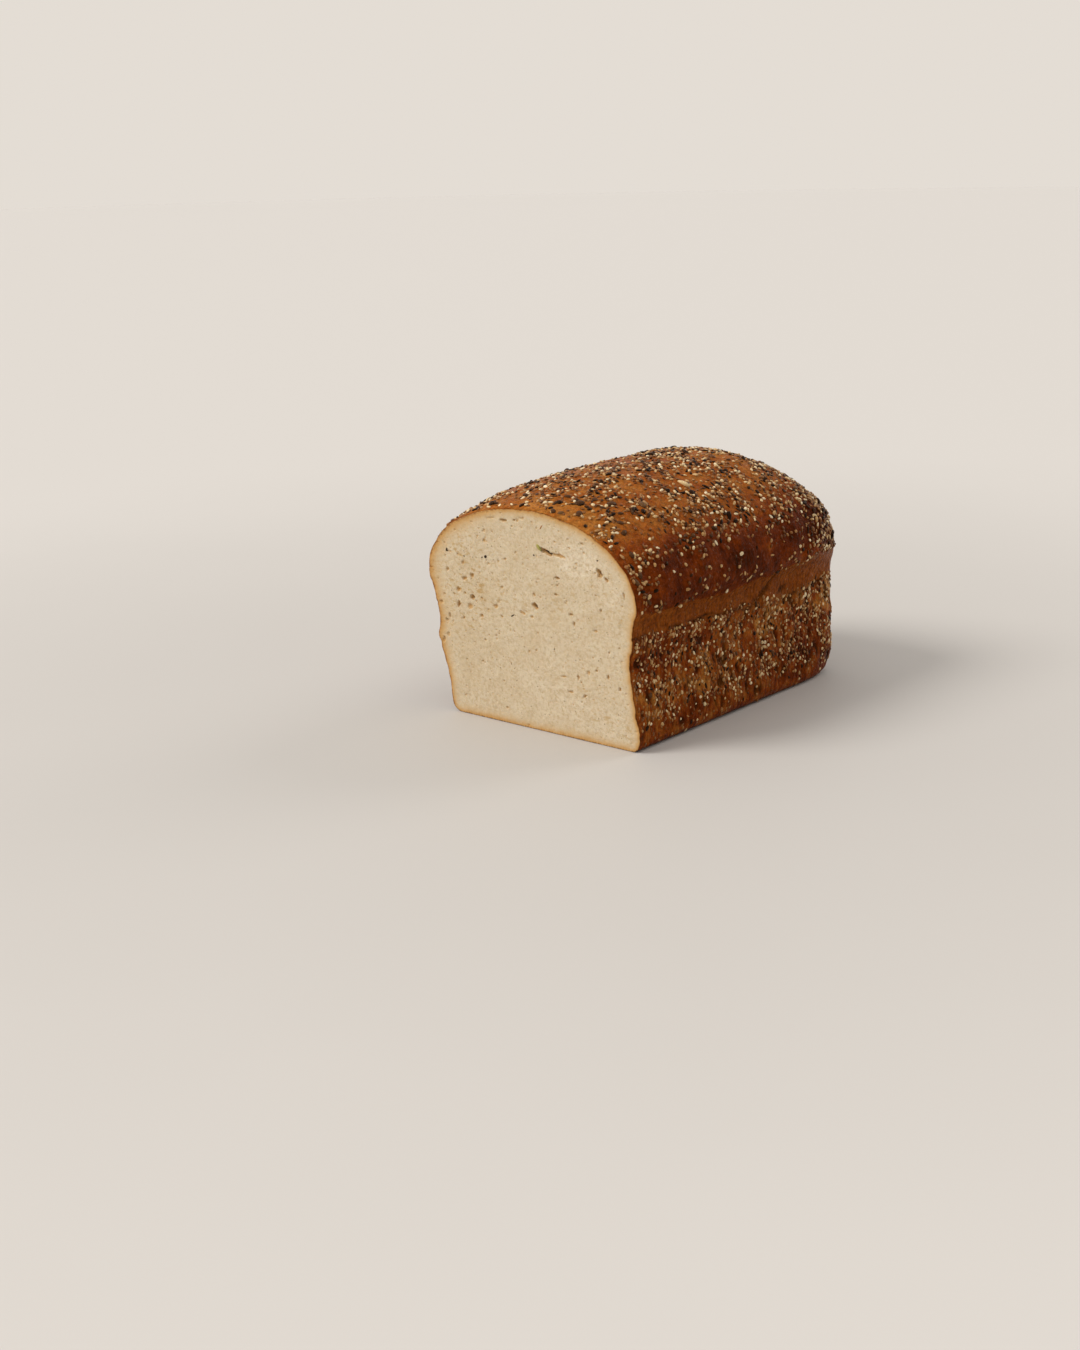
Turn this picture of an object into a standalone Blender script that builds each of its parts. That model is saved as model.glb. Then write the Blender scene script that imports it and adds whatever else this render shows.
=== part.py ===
"""A rye tin loaf with seeds on its crust and one end sliced off, as one closed solid.

Metres, +Z up. The loaf lies along Y, with its cut face towards -Y and its heel towards +Y.
The surface is one half section, from the middle of the bottom over the wall to the ridge, which is
swept down the left side of the loaf, round its heel and back up the right side.
"""

import math

import bmesh
import bpy
import numpy as np
from mathutils import Matrix, Vector

MM = 0.001

# Plan of the tin that the loaf was baked in
HALF_WIDTH = 66 * MM
LENGTH = 202 * MM
HEEL_START = 126 * MM
TIN_SQUARENESS = 8.0
FOOT_SQUARENESS = 5.6
LIP_SQUARENESS = 4.2
DOME_SQUARENESS = 2.3
SQUARENESS_FADE = 5

# Half section: how far each wall stands out from the tin's plan, at these heights
WALL_HEIGHTS = (0 * MM, 9 * MM, 24 * MM, 44 * MM, 53 * MM, 61 * MM, 72 * MM)
RIGHT_WALL = (0.2 * MM, 0.6 * MM, -0.4 * MM, -2.2 * MM, -2.0 * MM, 0.1 * MM, 0.3 * MM)
LEFT_WALL = (0.4 * MM, 1.6 * MM, 3.2 * MM, 7.8 * MM, 5.4 * MM, 6.8 * MM, 9.0 * MM)
HEEL_WALL = (0.8 * MM, 1.8 * MM, 3.0 * MM, 3.2 * MM, 2.2 * MM, 0.9 * MM, 0.9 * MM)
FOOT_ROUNDING = 5 * MM

# Dome that rose over the tin's rim
RIM_HEIGHT = 66 * MM
WIDEST_HEIGHT = 83 * MM
RIGHT_LIP = 3.9 * MM
LEFT_LIP = 10.8 * MM
HEEL_LIP = 3.6 * MM
LIP_GROWTH = 3.0 * MM
CUT_APEX = 126 * MM
DOME_APEX = 137.4 * MM
APEX_AT = 70 * MM
RISE_POWER = 0.75
HEEL_FULLNESS = 0.86

# Cut face
CUT_LEAN = 0.085

# Mesh steps
SIDE_STEPS = 10
HEEL_STEPS = 26
DOME_STEPS = 11
BOTTOM_SHARES = (0.0, 0.4, 0.78)
WALL_LEVELS = (14 * MM, 24 * MM, 34 * MM, 44 * MM, 52 * MM, 57 * MM, 61 * MM)
LIP_SHARES = (0.0, 0.27, 0.5, 0.73)

# Unevenness of the crust
SWELL = 0.9 * MM
SWELL_LONG = 0.067
SWELL_SHORT = 0.029
SWELL_FADE = 12 * MM

# Seeds on the crust: length, width, thickness, how many, and the clear way between two of them
SEED = 2795
SEED_SIDES = 5
SEED_RINGS = 4
SEED_KINDS = {
    "sunflower": (7.0 * MM, 4.0 * MM, 2.6 * MM, 16, 9 * MM),
    "flax": (4.6 * MM, 2.3 * MM, 1.5 * MM, 84, 5.6 * MM),
    "sesame": (3.2 * MM, 2.2 * MM, 1.6 * MM, 124, 4.6 * MM),
}
SEED_SUNK = 0.12
SEED_TAPER = 0.3
BARE_FOOT = 9 * MM
BARE_CUT_EDGE = 5 * MM
BAND_LOW = 57 * MM
BAND_HIGH = 79 * MM
FLANK_HIGH = 97 * MM
FLANK_SHARE = 0.3

# Largest holes in the crumb of the cut face: across, up, width, height, depth
CRUMB_HOLES = (
    (15.5 * MM, 104 * MM, 14.0 * MM, 2.6 * MM, 3.0 * MM),
    (48.1 * MM, 97 * MM, 3.4 * MM, 6.0 * MM, 2.2 * MM),
    (0.8 * MM, 72.2 * MM, 4.6 * MM, 3.6 * MM, 2.2 * MM),
    (-46.1 * MM, 71 * MM, 3.4 * MM, 3.0 * MM, 2.0 * MM),
    (-56.4 * MM, 66.6 * MM, 2.4 * MM, 4.4 * MM, 2.0 * MM),
    (-45.6 * MM, 82.1 * MM, 4.0 * MM, 2.6 * MM, 1.8 * MM),
    (-18.1 * MM, 119 * MM, 5.0 * MM, 1.8 * MM, 1.8 * MM),
)

CRUST_COLOUR = (0.30, 0.12, 0.045, 1.0)
CRUST_ROUGHNESS = 0.5


def clear_scene():
    for thing in list(bpy.data.objects):
        bpy.data.objects.remove(thing)


def plan_radius(angle, squareness, wide, deep):
    """Distance from the heel's pole to the plan's outline; angle 0 points down the loaf, to the heel."""
    across = abs(math.sin(angle) / wide) ** squareness
    along = abs(math.cos(angle) / deep) ** squareness
    return (across + along) ** (-1 / squareness)


def stations():
    """Where the half section stands: (pole's place along the loaf, its direction), left side to right side."""
    places = [(HEEL_START * i / SIDE_STEPS, -math.pi / 2) for i in range(SIDE_STEPS)]
    fine = np.linspace(-math.pi / 2, math.pi / 2, 721)
    deep = LENGTH - HEEL_START
    radii = np.array([plan_radius(a, TIN_SQUARENESS, HALF_WIDTH, deep) for a in fine])
    outline = np.column_stack([radii * np.sin(fine), radii * np.cos(fine)])
    walked = np.concatenate([[0], np.cumsum(np.linalg.norm(np.diff(outline, axis=0), axis=1))])
    even = np.interp(np.linspace(0, walked[-1], HEEL_STEPS + 1), walked, fine)
    places += [(HEEL_START, float(a)) for a in even]
    places += [(HEEL_START * (1 - i / SIDE_STEPS), math.pi / 2) for i in range(1, SIDE_STEPS + 1)]
    return places


def side_mix(angle, left, heel, right):
    """Blends a value of the left side, the heel and the right side by the direction."""
    facing_heel = math.cos(angle) ** 2
    side = right if angle > 0 else left
    return heel * facing_heel + side * (1 - facing_heel)


def risen(along):
    """How far the dome has risen from its height at the cut, 0, to its full height, 1."""
    return math.sin(math.pi / 2 * min(along / APEX_AT, 1.0) ** RISE_POWER)


def half_section(along, angle):
    """(distance out, height) of the half section there, from the bottom's middle to the ridge."""
    deep = LENGTH - HEEL_START

    def reach(squareness, out):
        return plan_radius(angle, squareness, HALF_WIDTH + out, deep + out)

    def wall_out(height):
        walls = [np.interp(height, WALL_HEIGHTS, wall) for wall in (LEFT_WALL, HEEL_WALL, RIGHT_WALL)]
        return side_mix(angle, *walls)

    def wall_reach(height):
        share = min(height / WALL_LEVELS[0], 1.0)
        squareness = FOOT_SQUARENESS + (TIN_SQUARENESS - FOOT_SQUARENESS) * share
        return reach(squareness, wall_out(height))

    foot = wall_reach(0.0) - FOOT_ROUNDING
    points = [(foot * share, 0.0) for share in BOTTOM_SHARES]
    for turn in (0.0, math.pi / 6, math.pi / 3, math.pi / 2):
        height = FOOT_ROUNDING * (1 - math.cos(turn))
        points.append((wall_reach(height) - FOOT_ROUNDING * (1 - math.sin(turn)), height))
    points += [(wall_reach(height), height) for height in WALL_LEVELS]
    lip = side_mix(angle, LEFT_LIP, HEEL_LIP, RIGHT_LIP) + LIP_GROWTH * risen(along)
    rim = wall_out(RIM_HEIGHT)
    for share in LIP_SHARES:
        height = RIM_HEIGHT + (WIDEST_HEIGHT - RIM_HEIGHT) * share
        grown = (1 - math.cos(math.pi * share)) / 2
        squareness = TIN_SQUARENESS + (LIP_SQUARENESS - TIN_SQUARENESS) * grown
        points.append((reach(squareness, rim + (lip - rim) * grown), height))
    rise = CUT_APEX + (DOME_APEX - CUT_APEX) * risen(along) - WIDEST_HEIGHT
    fullness = side_mix(angle, 1.0, HEEL_FULLNESS, 1.0)
    for step in range(DOME_STEPS + 1):
        turn = math.pi / 2 * step / DOME_STEPS
        level = max(math.cos(turn), 0.0)
        squareness = DOME_SQUARENESS + (LIP_SQUARENESS - DOME_SQUARENESS) * level ** SQUARENESS_FADE
        points.append((reach(squareness, lip) * level ** fullness, WIDEST_HEIGHT + rise * math.sin(turn)))
    return points


def swell(point):
    """How far the crust stands out or lies in at this point, as uneven as hand-moulded dough."""
    x, y, z = point
    long_wave = math.sin((x + 1.7 * y) / SWELL_LONG * math.tau + 1.1) * math.cos(z / SWELL_LONG * math.tau)
    short_wave = math.sin((y - x) / SWELL_SHORT * math.tau + 0.6) * math.sin(z / SWELL_SHORT * math.tau + 2.0)
    return SWELL * (0.6 * long_wave + 0.4 * short_wave) * min(z / SWELL_FADE, 1.0)


def crust_point(along, angle, out, height):
    """The point of the half section in space, with the crust's swell and the cut's lean."""
    direction = Vector((math.sin(angle), math.cos(angle), 0))
    point = Vector((0, along, height)) + direction * out
    half = max(out / HALF_WIDTH, 0.0)
    point += direction * swell(point) * min(half * 2, 1.0)
    point.y -= CUT_LEAN * height * max(1 - point.y / HEEL_START, 0.0)
    return point


def loaf_body():
    """The loaf without its seeds, as one closed mesh."""
    form = bmesh.new()
    columns = []
    for along, angle in stations():
        section = half_section(along, angle)
        columns.append([form.verts.new(crust_point(along, angle, *point)) for point in section])
    for left, right in zip(columns, columns[1:]):
        for low in range(len(left) - 1):
            form.faces.new((left[low], right[low], right[low + 1], left[low + 1]))
    first, last = columns[0], columns[-1]
    for low in range(len(first) - 1):
        form.faces.new((first[low], first[low + 1], last[low + 1], last[low]))
    bmesh.ops.remove_doubles(form, verts=form.verts, dist=MM / 1000)
    bmesh.ops.triangulate(form, faces=form.faces)
    bmesh.ops.recalc_face_normals(form, faces=form.faces)
    mesh = bpy.data.meshes.new("rye_loaf")
    form.to_mesh(mesh)
    form.free()
    body = bpy.data.objects.new("rye_loaf", mesh)
    bpy.context.scene.collection.objects.link(body)
    return body


def seed_share(point, normal):
    """How thickly the seeds lie at this place of the crust, from 0 to 1."""
    lean_out = CUT_LEAN * point.z
    if point.z < BARE_FOOT or point.y + lean_out < BARE_CUT_EDGE or normal.z < -0.3:
        return 0.0
    if BAND_LOW < point.z < BAND_HIGH:
        return 0.0
    if point.z < BAND_LOW:
        return min(point.z / BAND_LOW * 2, 1.0)
    if point.z < FLANK_HIGH and point.y < HEEL_START:
        return FLANK_SHARE
    return 1.0


def seed_places(body, draw):
    """(kind, point, normal, turn) of each seed, the largest first, none nearer to another than its clear way."""
    triangles = [(f.center.copy(), f.normal.copy(), f.area, [body.data.vertices[v].co for v in f.vertices])
                 for f in body.data.polygons]
    areas = np.array([t[2] for t in triangles])
    shares = np.cumsum(areas) / areas.sum()
    found = []
    for kind, (_, _, _, wanted, clear_way) in SEED_KINDS.items():
        placed = 0
        while placed < wanted:
            centre, normal, _, corners = triangles[int(np.searchsorted(shares, draw.random()))]
            a, b, lot, turn = draw.random(4)
            if a + b > 1:
                a, b = 1 - a, 1 - b
            point = corners[0] + (corners[1] - corners[0]) * a + (corners[2] - corners[0]) * b
            if lot > seed_share(point, normal):
                continue
            if any((point - other).length < (clear_way + way) / 2 for _, other, _, _, way in found):
                continue
            found.append((kind, point, normal, turn * math.tau, clear_way))
            placed += 1
    return found


def seed_mesh(kind):
    """A seed lying flat: an egg of few sides, drawn out to a blunt point at one end."""
    length, width, thickness, _, _ = SEED_KINDS[kind]
    form = bmesh.new()
    bmesh.ops.create_uvsphere(form, u_segments=SEED_SIDES, v_segments=SEED_RINGS, radius=0.5)
    for vert in form.verts:
        vert.co = Vector((vert.co.z, vert.co.x, vert.co.y))
        narrowing = 1 - SEED_TAPER * (vert.co.x + 0.5)
        vert.co = Vector((vert.co.x * length, vert.co.y * width * narrowing, vert.co.z * thickness * narrowing))
    bmesh.ops.triangulate(form, faces=form.faces)
    bmesh.ops.recalc_face_normals(form, faces=form.faces)
    mesh = bpy.data.meshes.new(kind)
    form.to_mesh(mesh)
    form.free()
    return mesh


def lay_seeds(body, group):
    """Puts one object for each seed into the group, half sunk in the crust."""
    meshes = {kind: seed_mesh(kind) for kind in SEED_KINDS}
    for kind, point, normal, turn, _ in seed_places(body, np.random.default_rng(SEED)):
        seed = bpy.data.objects.new(kind, meshes[kind])
        upright = normal.to_track_quat("Z", "Y").to_matrix().to_4x4()
        sunk = SEED_SUNK * SEED_KINDS[kind][2]
        seed.matrix_world = Matrix.Translation(point - normal * sunk) @ upright @ Matrix.Rotation(turn, 4, "Z")
        group.objects.link(seed)


def crumb_holes(group):
    """Puts one egg-shaped cutter for each large hole of the crumb into the group, halfway into the cut face."""
    form = bmesh.new()
    bmesh.ops.create_icosphere(form, subdivisions=2, radius=0.5)
    bmesh.ops.recalc_face_normals(form, faces=form.faces)
    mesh = bpy.data.meshes.new("hole")
    form.to_mesh(mesh)
    form.free()
    for across, up, width, height, depth in CRUMB_HOLES:
        hole = bpy.data.objects.new("hole", mesh)
        hole.scale = (width, 2 * depth, height)
        hole.location = (across, -CUT_LEAN * up, up)
        hole.hide_render = True
        hole.display_type = "WIRE"
        group.objects.link(hole)


def boolean(body, name, operation, fill):
    """Joins a filled collection to the body, or cuts it away, and removes the collection's objects."""
    group = bpy.data.collections.new(name)
    bpy.context.scene.collection.children.link(group)
    fill(group)
    step = body.modifiers.new(name, "BOOLEAN")
    step.operation = operation
    step.operand_type = "COLLECTION"
    step.collection = group
    step.solver = "MANIFOLD"
    bpy.context.view_layer.objects.active = body
    bpy.ops.object.modifier_apply(modifier=name)
    for thing in list(group.objects):
        bpy.data.objects.remove(thing)
    bpy.data.collections.remove(group)


def stand_on_origin(body):
    """Moves the mesh so that the middle of its box's bottom is at the origin."""
    corners = np.array([v.co for v in body.data.vertices])
    low, high = corners.min(axis=0), corners.max(axis=0)
    middle = Vector(((low[0] + high[0]) / 2, (low[1] + high[1]) / 2, low[2]))
    body.data.transform(Matrix.Translation(-middle))


def crust_material():
    material = bpy.data.materials.new("seeded_crust")
    material.use_nodes = True
    shader = material.node_tree.nodes["Principled BSDF"]
    shader.inputs["Base Color"].default_value = CRUST_COLOUR
    shader.inputs["Roughness"].default_value = CRUST_ROUGHNESS
    shader.inputs["Metallic"].default_value = 0.0
    return material


def rye_loaf():
    body = loaf_body()
    boolean(body, "crumb_holes", "DIFFERENCE", crumb_holes)
    boolean(body, "seeds", "UNION", lambda group: lay_seeds(body, group))
    stand_on_origin(body)
    body.data.materials.append(crust_material())
    body.data.set_sharp_from_angle(angle=math.radians(35))
    return body


clear_scene()
rye_loaf()
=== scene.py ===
import math

import bmesh
import bpy
import numpy as np
from mathutils import Euler, Matrix, Vector, geometry, kdtree, noise


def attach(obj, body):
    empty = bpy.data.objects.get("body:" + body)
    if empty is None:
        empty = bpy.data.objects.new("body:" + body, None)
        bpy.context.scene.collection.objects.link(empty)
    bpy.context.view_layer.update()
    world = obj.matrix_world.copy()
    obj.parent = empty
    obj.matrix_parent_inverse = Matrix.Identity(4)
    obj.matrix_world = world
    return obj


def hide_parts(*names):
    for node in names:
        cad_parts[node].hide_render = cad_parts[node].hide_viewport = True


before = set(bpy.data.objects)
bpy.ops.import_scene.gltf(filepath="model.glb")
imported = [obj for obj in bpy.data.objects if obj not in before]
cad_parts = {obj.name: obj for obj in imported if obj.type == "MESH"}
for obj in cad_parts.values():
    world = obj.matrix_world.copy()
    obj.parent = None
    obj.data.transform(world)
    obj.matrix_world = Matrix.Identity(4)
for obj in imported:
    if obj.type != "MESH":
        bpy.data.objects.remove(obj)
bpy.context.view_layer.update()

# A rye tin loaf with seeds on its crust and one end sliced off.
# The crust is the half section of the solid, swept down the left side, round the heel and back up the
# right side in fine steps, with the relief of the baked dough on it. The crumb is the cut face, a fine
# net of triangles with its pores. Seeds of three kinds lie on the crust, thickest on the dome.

MM = 0.001

# Plan of the tin, as in the solid
HALF_WIDTH = 66 * MM
LENGTH = 202 * MM
HEEL_START = 126 * MM
TIN_SQUARENESS = 8.0
FOOT_SQUARENESS = 5.6
LIP_SQUARENESS = 4.2
DOME_SQUARENESS = 2.3
SQUARENESS_FADE = 5
SQUARE_FOOT_HEIGHT = 14 * MM

# Half section, as in the solid: how far each wall stands out from the tin's plan, at these heights
WALL_HEIGHTS = np.array((0, 9, 24, 44, 53, 61, 72)) * MM
RIGHT_WALL = np.array((0.2, 0.6, -0.4, -2.2, -2, 0.1, 0.3)) * MM
LEFT_WALL = np.array((0.4, 1.6, 3.2, 7.8, 5.4, 6.8, 9)) * MM
HEEL_WALL = np.array((0.8, 1.8, 3, 3.2, 2.2, 0.9, 0.9)) * MM
WALL_SMOOTHING = 3 * MM
SMOOTHING_STEPS = 7
FOOT_ROUNDING = 5 * MM

# Dome that rose over the tin's rim, as in the solid
RIM_HEIGHT = 66 * MM
WIDEST_HEIGHT = 83 * MM
RIGHT_LIP = 3.9 * MM
LEFT_LIP = 10.8 * MM
HEEL_LIP = 3.6 * MM
LIP_GROWTH = 3.0 * MM
CUT_APEX = 126 * MM
DOME_APEX = 137.4 * MM
APEX_AT = 70 * MM
RISE_POWER = 0.75
HEEL_FULLNESS = 0.86
CUT_LEAN = 0.085

# Unevenness of the crust, as in the solid
SWELL = 0.9 * MM
SWELL_LONG = 0.067
SWELL_SHORT = 0.029
SWELL_FADE = 12 * MM
LONG_SLANT = 1.7
LONG_START = 1.1
LONG_SHARE = 0.6
SHORT_STARTS = (0.6, 2.0)
SHORT_SHARE = 0.4

# Where the section's own origin, the middle of the cut's foot, lies in the frame
SECTION_ORIGIN = np.array([3.405 * MM, -99.201 * MM, 0.0])

# Mesh steps of the crust
SIDE_COLUMNS = 112
HEEL_COLUMNS = 224
BOTTOM_ROWS = 16
FOOT_ROWS = 6
WALL_ROWS = 58
LIP_ROWS = 18
DOME_ROWS = 92
NARROWEST_COLUMN = 0.8 * MM
FEWEST_AT_POLE = 7
OUTLINE_STEPS = 2881

# Cut face
CRUMB_STEP = 0.50 * MM
CRUMB_JITTER = 0.2
CRUMB_DEPTH = 5.0 * MM
CRUMB_INSET = 0.95
CRUST_INSET = 0.97
CRUST_RECESS = 6.0 * MM
CRUMB_WIDE = 0.20 * MM
CRUMB_NEAR = 0.12 * MM
CRUMB_FINE = 0.05 * MM
RIM_THICKNESS = 1.4 * MM
RIM_THICKER_LEFT = 1.1 * MM
RIM_UNEVEN = 0.3 * MM

RANDOM_SEED = 2795

# Camera of the photograph
CAMERA_AT = (0.68479, -0.90532, 0.34)
CAMERA_AZIMUTH = math.radians(40.3)
CAMERA_PITCH = math.radians(-16.25)
CAMERA_ROLL = math.radians(-1.2)
LENS = 53.33


# Helpers

def fade(value, low, high):
    """0 below low, 1 above high, smooth between."""
    share = np.clip((value - low) / (high - low), 0.0, 1.0)
    return share * share * (3 - 2 * share)


def past(length, low, high):
    """Fades from 0 to 1 between two lengths in millimetres."""
    return fade(length, low * MM, high * MM)


def hump(value, middle, breadth):
    """1 at the middle, falling off smoothly on both sides."""
    return np.exp(-(((value - middle) / breadth) ** 2))


# Patterns of the noise: size of the lumps in millimetres, one for all or one for each axis, and its own shift
PATTERNS = {
    "band_low_wave": (19, 3.1),
    "band_low_ripple": (6, 8.4),
    "band_low_rag": (2.6, 3.9),
    "band_high_wave": (23, 5.7),
    "band_high_ripple": (7, 1.9),
    "band_high_rag": (2.6, 6.3),
    "band_fibres": ((2.2, 2.2, 14), 5.5),
    "torn_clumps": (9, 6.1),
    "crease_along": (5, 2.2),
    "crease_up": (5, 7.1),
    "bake_patch": (6, 4.9),
    "bake_wide": (30, 8.8),
    "bake_near": (9, 0.3),
    "crust_wide": (19, 0.7),
    "crust_near": (7, 4.4),
    "crust_fine": (3, 9.2),
    "streaks": ((2.4, 2.4, 9), 2.6),
    "folds": ((6.5, 6.5, 26), 7.7),
    "dents": ((2.8, 2.8, 7), 1.4),
    "dent_clumps": (14, 5.2),
    "lumps": ((4.4, 4.4, 6), 3.8),
    "blisters": (4.2, 3.3),
    "pore_rag": (2.0, 4.2),
    "pore_grain": (0.9, 7.3),
    "crumb_wide": (9, 1.3),
    "crumb_near": (2.6, 5.1),
    "crumb_fine": (1.1, 7.9),
    "rim_wide": (11, 3.7),
    "rim_near": (3, 6.9),
    "crumb_pale": ((9, 9, 3), 2.9),
    "seed_fields": (17, 6.6),
    "seed_clumps": (5.5, 2.8),
    "wall_seed_clumps": (9, 9.4),
}


def grain(points, pattern):
    """Smooth noise from about -1 to 1 in one of the patterns."""
    size, shift = PATTERNS[pattern]
    scaled = points / (np.asarray(size) * MM) + shift
    return np.array([noise.noise(p) for p in scaled.tolist()])


def mesh_object(name, points, faces):
    mesh = bpy.data.meshes.new(name)
    mesh.from_pydata(points.tolist(), [], faces)
    mesh.validate()
    mesh.update()
    mesh.shade_smooth()
    thing = bpy.data.objects.new(name, mesh)
    bpy.context.scene.collection.objects.link(thing)
    return thing


def set_attribute(thing, name, values, rest=0.0):
    """Gives the points their values; the points after them, at the back, all have the same."""
    full = np.full(len(thing.data.vertices), rest, np.float32)
    full[:len(values)] = values
    thing.data.attributes.new(name, "FLOAT", "POINT").data.foreach_set("value", full)


def face_outwards(thing):
    """Splits the faces of more than four corners and turns all faces outwards."""
    form = bmesh.new()
    form.from_mesh(thing.data)
    bmesh.ops.triangulate(form, faces=[f for f in form.faces if len(f.verts) > 4])
    bmesh.ops.recalc_face_normals(form, faces=form.faces)
    form.to_mesh(thing.data)
    form.free()


def vertex_normals(thing):
    normals = np.zeros(len(thing.data.vertices) * 3, np.float32)
    thing.data.vertex_normals.foreach_get("vector", normals)
    return normals.reshape(-1, 3).astype(float)


# Form of the loaf

def plan_radius(angle, squareness, wide, deep):
    """Distance from the heel's pole to the plan's outline; angle 0 points down the loaf, to the heel."""
    across = abs(math.sin(angle) / wide) ** squareness
    along = abs(math.cos(angle) / deep) ** squareness
    return (across + along) ** (-1 / squareness)


def stations():
    """Where the half section stands, from left to right: the pole's place along the loaf, its direction."""
    places = [(HEEL_START * i / SIDE_COLUMNS, -math.pi / 2) for i in range(SIDE_COLUMNS)]
    fine = np.linspace(-math.pi / 2, math.pi / 2, OUTLINE_STEPS)
    deep = LENGTH - HEEL_START
    radii = np.array([plan_radius(a, TIN_SQUARENESS, HALF_WIDTH, deep) for a in fine])
    outline = np.column_stack([radii * np.sin(fine), radii * np.cos(fine)])
    walked = np.concatenate([[0], np.cumsum(np.linalg.norm(np.diff(outline, axis=0), axis=1))])
    even = np.interp(np.linspace(0, walked[-1], HEEL_COLUMNS + 1), walked, fine)
    places += [(HEEL_START, float(a)) for a in even]
    places += [(HEEL_START * (1 - i / SIDE_COLUMNS), math.pi / 2) for i in range(1, SIDE_COLUMNS + 1)]
    return places


def side_mix(angle, left, heel, right):
    """Blends a value of the left side, the heel and the right side by the direction."""
    facing_heel = math.cos(angle) ** 2
    side = right if angle > 0 else left
    return heel * facing_heel + side * (1 - facing_heel)


def risen(along):
    """How far the dome has risen from its height at the cut, 0, to its full height, 1."""
    return math.sin(math.pi / 2 * min(along / APEX_AT, 1.0) ** RISE_POWER)


def smooth_wall(heights, wall):
    """The wall's outline with its corners eased."""
    steps = np.linspace(-1, 1, SMOOTHING_STEPS) * WALL_SMOOTHING
    return np.mean([np.interp(heights + step, WALL_HEIGHTS, wall) for step in steps], axis=0)


def half_section(along, angle):
    """(distance out, height) of the half section's rows, from the bottom's middle to the ridge."""
    deep = LENGTH - HEEL_START

    def reach(squareness, out):
        return plan_radius(angle, squareness, HALF_WIDTH + out, deep + out)

    def wall_out(heights):
        return side_mix(angle, *[smooth_wall(heights, wall) for wall in (LEFT_WALL, HEEL_WALL, RIGHT_WALL)])

    def wall_reach(heights):
        share = np.minimum(heights / SQUARE_FOOT_HEIGHT, 1.0)
        return reach(FOOT_SQUARENESS + (TIN_SQUARENESS - FOOT_SQUARENESS) * share, wall_out(heights))

    foot = wall_reach(np.zeros(1))[0] - FOOT_ROUNDING
    bottom = np.column_stack([np.linspace(0, foot, BOTTOM_ROWS, endpoint=False), np.zeros(BOTTOM_ROWS)])
    turn = np.linspace(0, math.pi / 2, FOOT_ROWS, endpoint=False)
    height = FOOT_ROUNDING * (1 - np.cos(turn))
    rounding = np.column_stack([wall_reach(height) - FOOT_ROUNDING * (1 - np.sin(turn)), height])
    height = np.linspace(FOOT_ROUNDING, RIM_HEIGHT, WALL_ROWS, endpoint=False)
    wall = np.column_stack([wall_reach(height), height])
    lip = side_mix(angle, LEFT_LIP, HEEL_LIP, RIGHT_LIP) + LIP_GROWTH * risen(along)
    rim = wall_out(np.array([RIM_HEIGHT]))[0]
    share = np.linspace(0, 1, LIP_ROWS, endpoint=False)
    grown = (1 - np.cos(math.pi * share)) / 2
    squareness = TIN_SQUARENESS + (LIP_SQUARENESS - TIN_SQUARENESS) * grown
    height = RIM_HEIGHT + (WIDEST_HEIGHT - RIM_HEIGHT) * share
    under = np.column_stack([reach(squareness, rim + (lip - rim) * grown), height])
    rise = CUT_APEX + (DOME_APEX - CUT_APEX) * risen(along) - WIDEST_HEIGHT
    fullness = side_mix(angle, 1.0, HEEL_FULLNESS, 1.0)
    turn = np.linspace(0, math.pi / 2, DOME_ROWS + 1)
    level = np.maximum(np.cos(turn), 0.0)
    level[-1] = 0.0
    squareness = DOME_SQUARENESS + (LIP_SQUARENESS - DOME_SQUARENESS) * level ** SQUARENESS_FADE
    out = reach(squareness, lip) * level ** fullness
    dome = np.column_stack([out, WIDEST_HEIGHT + rise * np.sin(turn)])
    return np.concatenate([bottom, rounding, wall, under, dome])


def swell(points):
    """How far the crust stands out or lies in, as uneven as hand-moulded dough."""
    x, y, z = points.T
    long_wave = np.sin((x + LONG_SLANT * y) / SWELL_LONG * math.tau + LONG_START)
    long_wave *= np.cos(z / SWELL_LONG * math.tau)
    short_wave = np.sin((y - x) / SWELL_SHORT * math.tau + SHORT_STARTS[0])
    short_wave *= np.sin(z / SWELL_SHORT * math.tau + SHORT_STARTS[1])
    return SWELL * (LONG_SHARE * long_wave + SHORT_SHARE * short_wave) * np.minimum(z / SWELL_FADE, 1.0)


def crust_grid():
    """Columns of points, one for each station, each from the bottom's middle to the ridge."""
    columns = []
    for along, angle in stations():
        out, height = half_section(along, angle).T
        direction = np.array([math.sin(angle), math.cos(angle), 0.0])
        points = out[:, None] * direction
        points[:, 1] += along
        points[:, 2] = height
        ease = np.minimum(np.maximum(out / HALF_WIDTH, 0.0) * 2, 1.0)
        points += direction * (swell(points) * ease)[:, None]
        points[:, 1] -= CUT_LEAN * height * np.maximum(1 - points[:, 1] / HEEL_START, 0.0)
        columns.append(points)
    return np.array(columns)


def kept_columns(count, rows, radii):
    """For each row and column the column whose point it shares, so that none is narrow at the heel's pole."""
    kept = np.tile(np.arange(count), (rows, 1))
    heel = np.arange(HEEL_COLUMNS + 1)
    for row in range(rows):
        stride = 1
        narrow = math.pi * radii[row] / HEEL_COLUMNS
        while stride < HEEL_COLUMNS // FEWEST_AT_POLE and narrow * stride < NARROWEST_COLUMN:
            stride *= 2
        kept[row, SIDE_COLUMNS + heel] = SIDE_COLUMNS + heel // stride * stride
    for row in (0, rows - 1):
        kept[row, SIDE_COLUMNS + heel] = SIDE_COLUMNS
        kept[row, SIDE_COLUMNS + HEEL_COLUMNS:] = SIDE_COLUMNS - np.arange(SIDE_COLUMNS + 1)
    return kept


# Relief of the crust

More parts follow.
